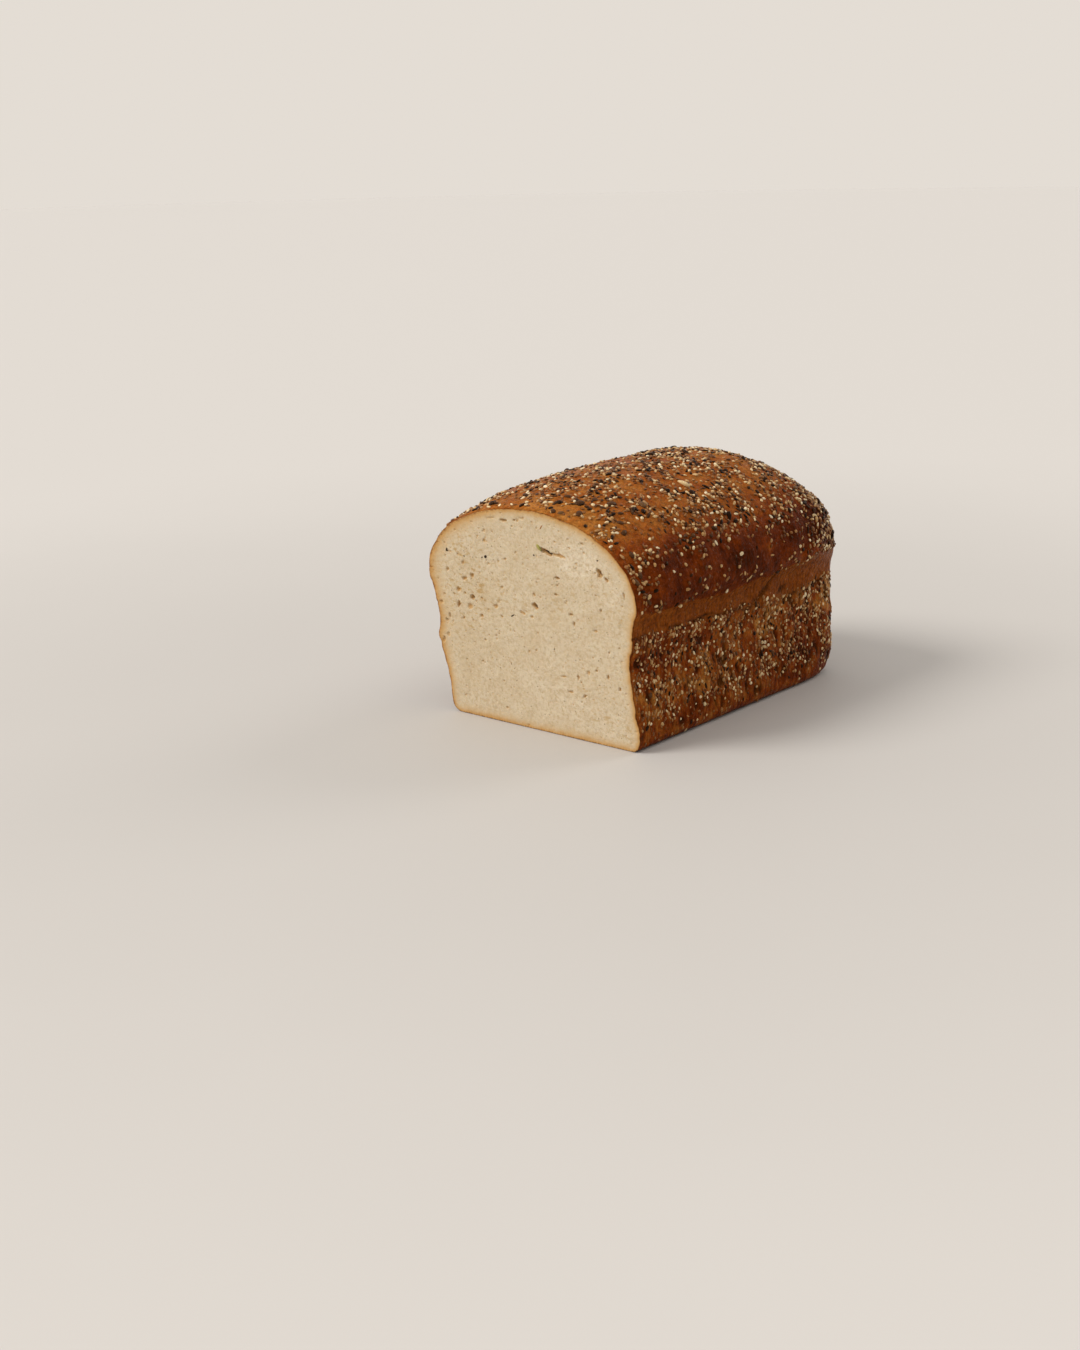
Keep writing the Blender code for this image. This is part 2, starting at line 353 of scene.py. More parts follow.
# Pale band, where the dough tore open over the tin's rim: its edges' heights at these places along the loaf
BAND_PLACES = np.array((0, 55, 100, 144, 185, 215)) * MM
BAND_LOWS = np.array((64, 61.5, 58.5, 55.5, 58.5, 60.5)) * MM
BAND_HIGHS = np.array((77, 73.4, 74, 75.7, 78, 76.5)) * MM
BAND_RECESS = 0.8 * MM
BAND_WAVE = 1.3 * MM
BAND_LOW_RIPPLE = 1.1 * MM
BAND_HIGH_RIPPLE = 1.7 * MM
BAND_RAG = 0.9 * MM
BAND_HIGH_EDGE = 1.3 * MM
BAND_LOW_EDGE = 1.6 * MM
BAND_LOW_SOFTER = 4.5 * MM

# Heights of the crust's patterns
CRUST_WIDE = 0.55 * MM
CRUST_NEAR = 0.30 * MM
CRUST_FINE = 0.10 * MM
WALL_STREAKS = 0.3 * MM
WALL_LUMPS = 0.55 * MM
WALL_FOLDS = 0.6 * MM
WALL_DENTS = 2.2 * MM
DENT_FROM = 0.14
FLANK_STREAKS = 0.32 * MM
FLANK_FOLDS = 0.40 * MM
FLANK_LUMPS = 0.30 * MM
BAND_FIBRES = 0.16 * MM
BLISTERS = 0.9 * MM
BLISTER_FROM = 0.22
TORN_WIDTH = 1.1 * MM
TORN_DEPTH = 0.6 * MM
CREASE_WANDER = 1.1
# Painted light and shade of the wall's lumps
LUMP_LIGHT_AND_SHADE = 0.16

# Creases of the right wall, in millimetres: (along, height) of both ends, width, depth
CREASES = (
    ((131, 75.5), (108, 56.5), 1.2, 1.5),
    ((123, 71), (104, 57.5), 0.9, 0.8),
    ((186, 62), (157, 55.5), 1.3, 1.2),
    ((101, 61), (92, 59.5), 2, 1),
    ((68, 63), (50, 61), 1.3, 0.8),
    ((48, 60.5), (30, 62), 0.9, 0.5),
    ((141, 64.5), (133, 61), 1.8, 1),
    ((152, 58), (143, 54), 1.2, 0.7),
    ((84, 97), (78, 79), 0.8, 0.5),
    ((104, 99), (99, 82), 0.8, 0.5),
)

# How dark the crust is, from 0, ochre, to 1, nearly black; the paler top is partly painted sheen
DOME_BAKED = 0.77
TOP_PALER_AND_SHEEN = 0.41
FRONT_PALER = 0.15
BEYOND_DARKER = 0.07
WALL_BAKED = 0.525
WALL_DARKER = 0.10
FOOT_DARKER = 0.05
BAND_PALER = 0.14
PATCH_PALER = 0.5
BAKE_WIDE = 0.16
BAKE_NEAR = 0.20
DARKEST_BAKE = 0.9

# Paler patches of the crust, in millimetres: along, height, length, height of the patch; and strength
OCHRE_PATCHES = (
    (114, 94, 7, 17, 0.75),
    (150, 66, 64, 24, 0.8),
    (118, 46, 40, 22, 0.7),
    (190, 44, 24, 54, 0.7),
    (58, 32, 36, 26, 0.7),
    (26, 26, 28, 24, 0.6),
    (165, 82, 40, 9, 0.45),
)


def band_edges(points):
    """Height of the lower and the upper edge of the pale band at each point."""
    flat = points * np.array([1.0, 1.0, 0.25])
    low = np.interp(points[:, 1], BAND_PLACES, BAND_LOWS)
    high = np.interp(points[:, 1], BAND_PLACES, BAND_HIGHS)
    low += BAND_WAVE * grain(flat, "band_low_wave") + BAND_LOW_RIPPLE * grain(flat, "band_low_ripple")
    high += BAND_WAVE * grain(flat, "band_high_wave") + BAND_HIGH_RIPPLE * grain(flat, "band_high_ripple")
    high += BAND_RAG * grain(points, "band_high_rag")
    low += BAND_RAG * grain(points, "band_low_rag")
    return low, high


def groove(points, start, end, width):
    """1 along the line from start to end on the right wall, falling off over the width."""
    place = points[:, 1:3]
    way = end - start
    share = np.clip(((place - start) @ way) / (way @ way), 0, 1)
    wander = np.column_stack([grain(points, "crease_along"), grain(points, "crease_up")]) * CREASE_WANDER
    away = np.linalg.norm(place + wander * MM - start - share[:, None] * way, axis=1)
    taper = 0.3 + 0.7 * np.sin(np.pi * np.clip(share, 0.02, 0.98))
    return hump(away, 0, width * taper) * (points[:, 0] > 0)


def baked_tone_and_sheen(points, band, dome):
    """How dark the crust is, from 0, ochre, to 1, nearly black, by place; its paler top is partly painted
    sheen.
    """
    x, y, z = points.T
    top = past(z, 100, 122)
    beyond = past(y, 120, 190)
    front = 1 - past(y + CUT_LEAN * z, 4, 46)
    # The top is paler, partly its own crust and partly painted sheen where the light glances off it.
    on_dome = DOME_BAKED - TOP_PALER_AND_SHEEN * top - FRONT_PALER * front * (1 - 0.5 * top) + BEYOND_DARKER * beyond
    foot = 1 - past(z, 4, 16)
    under_band = hump(z, 52 * MM, 9 * MM) * (1 - past(y, 70, 110))
    on_wall = WALL_BAKED + WALL_DARKER * past(y, 100, 170) * (1 - past(z, 30, 50))
    on_wall += WALL_DARKER * under_band
    on_wall += FOOT_DARKER * foot
    tone_and_light = on_wall + (on_dome - on_wall) * dome
    for *sizes, strength in OCHRE_PATCHES:
        along, height, long, high = np.array(sizes) * MM
        off = ((y - along) / (long / 2)) ** 2 + ((z - height) / (high / 2)) ** 2
        uneven = 0.6 + 0.8 * grain(points, "bake_patch")
        tone_and_light -= PATCH_PALER * strength * np.exp(-off) * uneven * (x > 0)
    calm = 1 - 0.5 * dome
    tone_and_light += calm * (BAKE_WIDE * grain(points, "bake_wide") + BAKE_NEAR * grain(points, "bake_near"))
    return np.clip(tone_and_light - BAND_PALER * band, 0, DARKEST_BAKE)


def crust_relief(points):
    """Each point's relief, share of the pale band, tone with painted light, and painted shade of creases."""
    z = points[:, 2]
    low, high = band_edges(points)
    soft = BAND_LOW_EDGE + BAND_LOW_SOFTER * past(points[:, 1], 75, 130)
    band = fade(z, low - soft, low + soft) * (1 - fade(z, high - BAND_HIGH_EDGE, high + BAND_HIGH_EDGE))
    wall = 1 - fade(z, low - 3 * MM, low + 3 * MM)
    dome = fade(z, high - 1 * MM, high + 3 * MM)
    flank = dome * (1 - past(z, 98, 112))
    foot = past(z, 3, 14)
    relief = CRUST_WIDE * grain(points, "crust_wide") + CRUST_NEAR * grain(points, "crust_near")
    relief += CRUST_FINE * grain(points, "crust_fine")
    streaks = grain(points, "streaks")
    folds = grain(points, "folds")
    dents = np.maximum(grain(points, "dents") - DENT_FROM, 0)
    dents *= fade(grain(points, "dent_clumps"), -0.3, 0.1)
    lumps = grain(points, "lumps")
    on_wall = WALL_STREAKS * streaks + WALL_LUMPS * lumps + WALL_FOLDS * folds - WALL_DENTS * dents
    relief += wall * foot * on_wall
    relief += flank * (FLANK_STREAKS * streaks + FLANK_FOLDS * folds + FLANK_LUMPS * lumps)
    relief += band * BAND_FIBRES * grain(points, "band_fibres")
    blisters = np.maximum(grain(points, "blisters") - BLISTER_FROM, 0)
    relief += (dome - 0.6 * flank) * BLISTERS * blisters
    relief -= BAND_RECESS * band
    torn = hump(z, low, TORN_WIDTH) * fade(grain(points, "torn_clumps"), -0.3, 0.1)
    torn *= 1 - 0.7 * past(points[:, 1], 100, 130)
    relief -= TORN_DEPTH * torn
    # Painted shade: darker along the torn line, in the wall's dents and in the creases.
    crease_shade = np.maximum(0.8 * torn, np.clip(dents * wall * foot * 5, 0, 0.85))
    for start, end, width, depth in CREASES:
        line = groove(points, np.array(start) * MM, np.array(end) * MM, width * MM)
        relief -= depth * MM * line
        crease_shade = np.maximum(crease_shade, line)
    relief *= past(z, 0.2, 5)
    # Painted light and shade: the wall's raised lumps paler, the hollows between them darker.
    tone_and_light = baked_tone_and_sheen(points, band, dome) - LUMP_LIGHT_AND_SHADE * lumps * wall * foot
    return relief, band, np.clip(tone_and_light, 0, 1), crease_shade


def crust_points(grid, kept):
    """The grid's own points without those that share another's place, and each place's number."""
    rows, count = kept.shape
    numbers = kept * rows + np.arange(rows)[:, None]
    used, numbers = np.unique(numbers, return_inverse=True)
    return grid.reshape(-1, 3)[used], numbers.reshape(rows, count)


def crust_faces(numbers):
    faces = []
    rows, count = numbers.shape
    for row in range(rows - 1):
        lower, upper = numbers[row].tolist(), numbers[row + 1].tolist()
        for col in range(count - 1):
            corners = [lower[col], upper[col], upper[col + 1], lower[col + 1]]
            ring = [c for i, c in enumerate(corners) if c != corners[i - 1]]
            if len(set(ring)) > 2:
                faces.append(ring)
    return faces


def edge_ring(numbers):
    """Numbers of the crust's points round the cut: from the bottom's middle up the left, down the right."""
    left, right = numbers[:, 0].tolist(), numbers[:, -1].tolist()
    return left + right[-2:0:-1]


def close_behind(points, faces, ring):
    """Closes the crust behind the crumb by a plain recess, which the crumb fills."""
    edge = points[ring]
    middle = (edge.max(axis=0) + edge.min(axis=0)) / 2
    back = middle + (edge - middle) * CRUST_INSET
    back[:, 1] = edge[:, 1] + CRUST_RECESS
    first = len(points)
    count = len(ring)
    walls = []
    for i in range(count):
        after = (i + 1) % count
        walls.append([ring[i], first + i, first + after, ring[after]])
    half = count // 2
    cap = []
    for i in range(half):
        low, high = first + i, first + i + 1
        low_right, high_right = first + (count - i) % count, first + count - i - 1
        corners = [low, high, high_right, low_right]
        corners = [c for k, c in enumerate(corners) if c != corners[k - 1]]
        if len(set(corners)) > 2:
            cap.append(corners)
    return np.concatenate([points, back]), faces + walls + cap


def crust_shell():
    grid = crust_grid()
    count, rows = grid.shape[:2]
    heel_column = grid[SIDE_COLUMNS + HEEL_COLUMNS // 4]
    radii = np.linalg.norm(heel_column[:, :2] - np.array([0, HEEL_START]), axis=1)
    points, numbers = crust_points(grid, kept_columns(count, rows, radii))
    faces = crust_faces(numbers)
    shell = mesh_object("crust_base", points, faces)
    normals = vertex_normals(shell)
    bpy.data.objects.remove(shell)
    relief, band, tone_and_light, crease_shade = crust_relief(points)
    ring = edge_ring(numbers)
    normals[ring, 1] = 0
    normals[ring] /= np.maximum(np.linalg.norm(normals[ring], axis=1), 1e-6)[:, None]
    points = points + normals * relief[:, None]
    points[:, 2] = np.maximum(points[:, 2], 0)
    points[ring, 1] = -CUT_LEAN * points[ring, 2]
    edge = points[ring]
    points, faces = close_behind(points, faces, ring)
    crust = mesh_object("crust", points + SECTION_ORIGIN, faces)
    face_outwards(crust)
    set_attribute(crust, "band", band)
    set_attribute(crust, "tone_and_light", tone_and_light, 0.5)
    set_attribute(crust, "crease_shade", crease_shade)
    return crust, edge


# Crumb of the cut face

# Largest holes, in millimetres and degrees: across, up, width, height, turn, depth
CRUMB_HOLES = (
    (12, 104.3, 8.5, 3, -12, 3.6), (19.5, 103.6, 9.5, 1.9, -4, 1.3), (46.9, 97.4, 3.4, 6.4, 22, 2),
    (51.4, 94.7, 1.8, 3, 32, 1.5), (17.6, 90.8, 2.7, 1.7, 0, 1.8), (17.3, 86.9, 1.2, 1, 0, 1),
    (15.7, 81.5, 2, 1.3, 0, 1.4), (0.6, 72.6, 5, 3.4, -28, 2.2), (-9, 67.5, 4.2, 2, -10, 0.8),
    (-2.5, 66, 2.6, 1.6, 10, 0.9), (-28.2, 68.4, 3, 2.6, 20, 1), (-18, 118.7, 5.2, 1.7, 4, 1.7),
    (-26, 119, 6, 1.1, 6, 0.7), (-4.5, 121, 4.5, 1, -6, 0.7), (-49.8, 81.4, 4, 2.2, 12, 1.2),
    (-44.5, 83.6, 2.2, 2.8, -18, 1.3), (-55.6, 73.9, 2.4, 3.2, -18, 1.4), (-45.1, 71.1, 3.6, 2.6, 0, 1.8),
    (-47.8, 65.5, 4.6, 3.6, 0, 0.9), (-56, 65.8, 2, 4.6, -18, 2), (-62.4, 85.2, 1.8, 3, -20, 1),
    (-50.5, 90.3, 2.6, 2, 40, 1), (-63.8, 57.4, 1.6, 4, -8, 1.1), (-70, 42.4, 2.4, 2.8, 0, 1.2),
    (46.2, 76.9, 1.1, 2.4, -10, 1.2), (27.1, 66.3, 1.3, 2.8, 0, 1.1), (27.3, 36.4, 1.4, 3.6, 0, 1.3),
    (48.2, 40.1, 1.8, 2.8, 20, 1.5), (40.5, 42.2, 1.6, 1.6, 0, 1), (17, 35, 5, 1.1, 6, 0.8),
    (31.1, 26.1, 3.6, 1.4, 38, 1.1), (21, 26.8, 3.8, 1.2, 8, 0.9), (55.7, 34.4, 1.6, 2.6, 0, 1.1),
    (36.1, 112.3, 2.4, 0.9, -35, 1), (62.4, 87.5, 1.1, 4.6, 12, 1.2),
)

# Paler parts of the crumb, in millimetres: across, up, reach across, reach up; and strength
CRUMB_PALER = ((33, 101, 20, 9, 1), (52, 86, 7, 9, 0.7), (22, 22, 34, 20, 0.5))

# Small pores, scattered: how many with the largest holes, and their radius
PORES = 1300
PORE_MIDDLE = 0.37 * MM
PORE_SPREAD = 0.5
PORE_LARGEST = 1.3 * MM
PORE_FLATTEST = 0.45
PORE_TURN = 0.5
PORE_DEPTHS = (0.5, 1.1)
PORE_REACH = 1.5
PORE_RAG = 0.9
PORE_GRAIN = 0.5
PORE_STEEPNESS = 0.7

# Seeds cut through in the crumb, in millimetres and degrees: across, up, length, width, turn;
# and tone from dark, 0, to pale, 1
CRUMB_SEEDS = (
    (6.4, 106.5, 4.6, 2.6, -48, 0.62), (-32.7, 96.3, 2.2, 1.9, 35, 0.05), (-35.4, 95.4, 1, 1, 0, 0.10),
    (-61.5, 96.7, 2.4, 1.5, 70, 0.15), (-48.7, 94.5, 1.1, 1, 0, 0.10), (2.4, 101.7, 1.1, 1, 0, 0.05),
    (46.2, 104.6, 1.2, 0.8, 10, 0.15), (-16.1, 64.9, 3.4, 0.9, 32, 0.05), (9.1, 118.1, 3.4, 0.8, 52, 0.40),
    (-20, 36, 1.2, 0.8, -50, 0.20), (12, 50, 1.1, 0.8, 60, 0.25),
)


def inside(points, outline):
    """Whether each point of the plane lies in the outline."""
    found = np.zeros(len(points), bool)
    x, z = points.T
    for (x1, z1), (x2, z2) in zip(outline, np.roll(outline, -1, axis=0)):
        if z1 == z2:
            continue
        crosses = (z1 > z) != (z2 > z)
        found ^= crosses & (x < (x2 - x1) * (z - z1) / (z2 - z1) + x1)
    return found


def crumb_net(outline, draw):
    """Triangles of even size within the outline, whose own points come first."""
    low, high = outline.min(axis=0), outline.max(axis=0)
    row_step = CRUMB_STEP * math.sqrt(3) / 2
    rows = np.arange(low[1], high[1], row_step)
    steps = np.arange(low[0], high[0], CRUMB_STEP)
    across = steps[None, :] + (np.arange(len(rows)) % 2)[:, None] * CRUMB_STEP / 2
    net = np.column_stack([across.ravel(), np.repeat(rows, len(steps))])
    net += draw.uniform(-CRUMB_JITTER, CRUMB_JITTER, net.shape) * CRUMB_STEP
    net = net[inside(net, outline)]
    tree = kdtree.KDTree(len(outline))
    for i, (x, z) in enumerate(outline):
        tree.insert((x, z, 0), i)
    tree.balance()
    apart = np.array([tree.find((x, z, 0))[2] for x, z in net.tolist()])
    net = net[apart > CRUMB_STEP * 0.6]
    apart = apart[apart > CRUMB_STEP * 0.6]
    places = [Vector(p) for p in np.concatenate([outline, net]).tolist()]
    found = geometry.delaunay_2d_cdt(places, [], [list(range(len(outline)))], 1, 1e-7)
    points = np.array([tuple(p) for p in found[0]])
    rim = np.array([tree.find((x, z, 0))[2] for x, z in points.tolist()])
    return points, [list(f) for f in found[2]], rim


def pits(points, draw):
    """Depth of the crumb's pores at each point, and how deep in one the point lies, 0 to 1, for painted
    shade.
    """
    depth = np.zeros(len(points))
    inner = np.zeros(len(points))
    holes = [(x * MM, z * MM, wide * MM / 2, high * MM / 2, math.radians(turn), deep * MM)
             for x, z, wide, high, turn, deep in CRUMB_HOLES]
    flat = np.column_stack([points[:, 0], np.zeros(len(points)), points[:, 1]])
    coarse = grain(flat, "pore_rag")
    fine = grain(flat, "pore_grain")
    low, high = points.min(axis=0), points.max(axis=0)
    while len(holes) < PORES:
        x, z = low + (high - low) * draw.random(2)
        lot, size = draw.random(), draw.normal()
        squash, turn = draw.uniform(PORE_FLATTEST, 1.0), draw.normal()
        height_share = (z - low[1]) / (high[1] - low[1])
        to_left = past(-x, 0, 50)
        low_right = past(x, 0, 40) * (1 - past(z, 30, 60))
        if lot > 0.25 + 0.45 * max(to_left, low_right) + 0.3 * height_share:
            continue
        radius = min(PORE_MIDDLE * math.exp(PORE_SPREAD * size) * (0.75 + 0.4 * height_share), PORE_LARGEST)
        holes.append((x, z, radius, radius * squash, turn * PORE_TURN, radius * draw.uniform(*PORE_DEPTHS)))
    for x, z, half_wide, half_high, turn, deep in holes:
        reach = PORE_REACH * max(half_wide, half_high)
        near = np.nonzero((abs(points[:, 0] - x) < reach) & (abs(points[:, 1] - z) < reach))[0]
        if not len(near):
            continue
        dx, dz = points[near, 0] - x, points[near, 1] - z
        across = (dx * math.cos(turn) + dz * math.sin(turn)) / half_wide
        up = (dz * math.cos(turn) - dx * math.sin(turn)) / half_high
        away = (across ** 2 + up ** 2) * (1 + PORE_RAG * coarse[near])
        share = np.clip(1 - away + PORE_GRAIN * fine[near], 0, 1) ** PORE_STEEPNESS
        depth[near] = np.maximum(depth[near], deep * share)
        # Painted shade: the deeper the hole, the darker its inside.
        inner[near] = np.maximum(inner[near], share * min(0.20 + 0.25 * deep / MM, 1.0))
    return depth, inner


def crumb_slab(edge, draw):
    """The cut face with its pores, closed behind by a plain slab that fills the crust's recess."""
    loop = edge[:, [0, 2]]
    between = (loop + np.roll(loop, -1, axis=0)) / 2
    outline = np.stack([loop, between], axis=1).reshape(-1, 2)
    gaps = np.linalg.norm(outline - np.roll(outline, 1, axis=0), axis=1)
    outline = outline[gaps > 1e-6]
    plane, faces, rim = crumb_net(outline, draw)
    depth, inner = pits(plane, draw)
    front = np.column_stack([plane[:, 0], -CUT_LEAN * plane[:, 1], plane[:, 1]])
    relief = CRUMB_WIDE * grain(front, "crumb_wide") + CRUMB_NEAR * grain(front, "crumb_near")
    relief += CRUMB_FINE * grain(front, "crumb_fine")
    ease = past(rim, 0.1, 1.5)
    front[:, 1] += (depth - relief) * ease
    count = len(outline)
    middle = np.array([0.0, 0.0, outline[:, 1].max() / 2])
    rims = front[:count].copy()
    back = middle + (rims - middle) * CRUMB_INSET
    back[:, 1] = rims[:, 1] + CRUMB_DEPTH
    first = len(front)
    walls = [[i, first + i, first + (i + 1) % count, (i + 1) % count] for i in range(count)]
    cap = [[first + i for i in range(count)]]
    crumb = mesh_object("crumb", np.concatenate([front, back]) + SECTION_ORIGIN, faces + walls + cap)
    face_outwards(crumb)
    to_left = past(-front[:, 0], 15, 55)
    low_right = past(front[:, 0], 0, 45) * (1 - past(front[:, 2], 25, 55))
    middle = hump(front[:, 2], 78 * MM, 16 * MM)
    high_left = to_left * past(front[:, 2], 30, 60)
    stain = np.clip(high_left + 0.7 * low_right + 0.6 * middle, 0, 1)
    thick = RIM_THICKNESS + RIM_THICKER_LEFT * to_left * past(front[:, 2], 10, 60)
    thick += RIM_UNEVEN * grain(front, "rim_wide") + RIM_UNEVEN * grain(front, "rim_near")
    set_attribute(crumb, "rim", rim / np.maximum(thick, 0.5 * MM))
    set_attribute(crumb, "pit", inner * ease)
    set_attribute(crumb, "stain", stain)
    pale = np.zeros(len(front))
    for *sizes, strength in CRUMB_PALER:
        across, up, wide, high = np.array(sizes) * MM
        pale += strength * hump(plane[:, 0], across, wide) * hump(plane[:, 1], up, high)
    pale *= 0.75 + 0.9 * grain(front, "crumb_pale")
    set_attribute(crumb, "pale", np.clip(pale, 0, 1))
    return crumb


def crumb_seeds():
    """The seeds that the knife cut through, each just proud of the cut face."""
    bodies, corners, tones = [], [], []
    shape, faces = seed_form(1, 1, 1, 10, 6, 0.25)
    for *sizes, turn, tone in CRUMB_SEEDS:
        across, up, long, wide = np.array(sizes) * MM
        angle = math.radians(turn)
        body = shape * (long, wide, wide * 0.7)
        place = np.array([across, -CUT_LEAN * up + 0.05 * wide, up])
        turned = np.column_stack([body[:, 0] * math.cos(angle) - body[:, 1] * math.sin(angle), body[:, 2],
                                  body[:, 0] * math.sin(angle) + body[:, 1] * math.cos(angle)])
        corners.append(faces[:, ::-1] + len(shape) * len(bodies))
        bodies.append(turned + place + SECTION_ORIGIN)
        tones += [tone] * len(shape)
    seeds = mesh_object("crumb_seeds", np.concatenate(bodies), np.concatenate(corners).tolist())
    set_attribute(seeds, "lot", tones)
    return seeds


# Seeds on the crust: length, width, thickness and clear way in millimetres, sides and rings of the mesh,
# how many, share of the thickness that is sunk, taper, and share on the walls
SEEDS = {
    "dark_kernels": (4.9, 3.2, 2.2, 3.4, 10, 7, 120, -0.05, 0.15, 0.05),
    "flax": (3.5, 2.2, 1.5, 1.9, 7, 6, 1500, -0.08, 0.3, 0.45),
    "millet": (2.3, 2.1, 1.75, 1.45, 7, 5, 3450, -0.05, 0, 0.95),
    "sesame": (2.9, 2.1, 1.5, 1.55, 7, 5, 3000, -0.08, 0.35, 0.6),
    "bran_flakes": (2.5, 1.9, 1.1, 1.3, 6, 4, 3200, 0, 0.15, 0.9),
}
DARK_KINDS = ("dark_kernels", "flax")

# Single seeds at their own places, in millimetres and degrees: across, along, height, turn;
# and size and width as shares of the kind's own
NAMED_SEEDS = {
    "dark_kernels": (
        (22, 7, 130, 20, 1.15, 1.2),
        (28, -1, 126, 80, 1, 1.2),
        (34, 19, 128, 5, 1.3, 0.95),
        (15, -7, 127, 100, 0.85, 1.2),
        (51, 8, 117, 40, 0.9, 1.15),
        (60, 2, 107, 95, 0.9, 1.2),
        (46, 11, 121, 130, 0.8, 1.2),
        (66, 1, 97, 80, 0.85, 1.2),
        (-29, 31, 132, 30, 1, 1),
        (-14, 5, 130, 10, 0.9, 0.9),
        (25, 16, 131, 60, 0.9, 1.1),
        (12, 9, 132, 150, 0.8, 1.1),
        (-58, 4, 114, 70, 0.75, 1.3),
        (-63, 5, 108, 30, 0.8, 1.25),
        (-67, 4, 102, 100, 0.85, 1.2),
        (-70, 5, 96, 40, 0.75, 1.2),
        (-52, 7, 119, 10, 0.7, 1.2),
    ),
    "sesame": ((37, 80, 130, 110, 2.7, 0.62),),
}
SIZE_SPREAD = 0.17
SIZE_LIMITS = (0.6, 1.4)
SIZE_LOTS = (0.8, 1.12)
ROLL_SPREAD = 0.3
PITCH_SPREAD = 0.28
SUNK_LOTS = (-0.1, 0.16)
PALE_POWER = 1.25
WALL_SEED_SIZE = 0.98
WALL_SEED_SUNK = 0.2
WALL_SEED_TURN = 0.6
WALL_SEED_TONES = (0.06, 0.88)
SEED_SHADE = 0.3
NAMED_SEED_TONE = 0.8
NAMED_SEED_ROLL = 0.1
SAMPLES_A_SEED = 20
CLEAR_OF_CUT = 0.8 * MM


def seed_share(points, wall_share, reach):
    """How thickly the seeds lie at each place of the crust, from 0 to 1; none reaches over the cut."""
    x, y, z = points.T
    low, high = band_edges(points)
    clumps = fade(grain(points, "seed_fields"), -0.32, 0.22)
    clumps = 0.06 + 0.94 * clumps * (0.07 + 0.93 * fade(grain(points, "seed_clumps"), -0.10, 0.16))
    heel = fade(y, HEEL_START + 14 * MM, HEEL_START + 54 * MM)
    clumps = np.maximum(clumps, heel * (z > high) * (0.4 + 0.5 * clumps))
    wall = (z < low) * past(z, 7, 26) * (1 - 0.3 * past(y, 120, 180))
    wall = wall * (0.12 + 0.88 * fade(grain(points, "wall_seed_clumps"), -0.2, 0.2))
    wall += (z < low) * (z > 1.5 * MM) * 0.05
    edge = 0.5 * hump(z, low, 3 * MM) * (z > low) * past(y, 60, 110)
    dome = fade(z, high - 1 * MM, high + 2 * MM)
    from_cut = y + CUT_LEAN * z
    rim_row = hump(z, high + 2.5 * MM, 3 * MM) * (1 - past(y, 25, 70))
    cut_row = 1 - past(from_cut, 5, 17)
    flank = 1 - (1 - heel) * (1 - past(z, 98, 113)) * (0.9 - 0.6 * np.maximum(rim_row, cut_row))
    at_cut = fade(from_cut, reach, reach + CLEAR_OF_CUT)
    near_cut = 1 - 0.55 * (1 - past(from_cut, 7, 24)) * past(z, 105, 116)
    bare = 0.75 * hump(x, 54 * MM, 10 * MM) * hump(from_cut, 20 * MM, 14 * MM)
    on_dome = clumps * dome * flank * near_cut * (1 - bare)
    corner = hump(z, 110 * MM, 8 * MM) * (x < 0) * (1 - past(from_cut, 6, 20))
    return at_cut * (np.maximum(on_dome, 0.8 * corner) + wall_share * (wall + edge))


def seed_form(length, width, thickness, sides, rings, taper):
    """Points and triangles of a seed lying flat along X, drawn out to a blunt point where it tapers."""
    form = bmesh.new()
    bmesh.ops.create_uvsphere(form, u_segments=sides, v_segments=rings, radius=0.5)
    bmesh.ops.triangulate(form, faces=form.faces)
    points = np.array([(v.co.z, v.co.x, v.co.y) for v in form.verts])
    form.verts.index_update()
    faces = np.array([[v.index for v in f.verts] for f in form.faces])
    form.free()
    narrow = 1 - taper * (points[:, 0] + 0.5)
    size = np.column_stack([np.full(len(points), length), width * narrow, thickness * narrow])
    return points * size, faces


def crust_samples(crust, count, draw):
    """Places spread evenly over the crust, and its direction outwards at each."""
    mesh = crust.data
    mesh.calc_loop_triangles()
    corners = np.zeros(len(mesh.loop_triangles) * 3, np.int32)
    mesh.loop_triangles.foreach_get("vertices", corners)
    corners = corners.reshape(-1, 3)
    points = np.zeros(len(mesh.vertices) * 3)
    mesh.vertices.foreach_get("co", points)
    points = points.reshape(-1, 3)
    a, b, c = points[corners[:, 0]], points[corners[:, 1]], points[corners[:, 2]]
    across = np.cross(b - a, c - a)
    areas = np.linalg.norm(across, axis=1) / 2
    pick = draw.choice(len(areas), size=count, p=areas / areas.sum())
    u, v = draw.random((2, count))
    over = u + v > 1
    u[over], v[over] = 1 - u[over], 1 - v[over]
    places = a[pick] + (b - a)[pick] * u[:, None] + (c - a)[pick] * v[:, None]
    return places, across[pick] / (2 * np.maximum(areas[pick], 1e-12))[:, None]


def clear_places(places, chances, clear_way, wanted, draw, taken):
    """Numbers of the places that are drawn and lie clear of every seed laid before."""
    lots = draw.random(len(places))
    cell = 3 * MM
    found = []
    for i in np.nonzero(lots < chances)[0]:
        key = tuple((places[i] / cell).astype(int))
        near = [t for dx in (-1, 0, 1) for dy in (-1, 0, 1) for dz in (-1, 0, 1)
                for t in taken.get((key[0] + dx, key[1] + dy, key[2] + dz), ())]
        if any(math.dist(places[i], place) < (clear_way + way) / 2 for place, way in near):
            continue
        taken.setdefault(key, []).append((places[i], clear_way))
        found.append(i)
        if len(found) == wanted:
            break
    return found


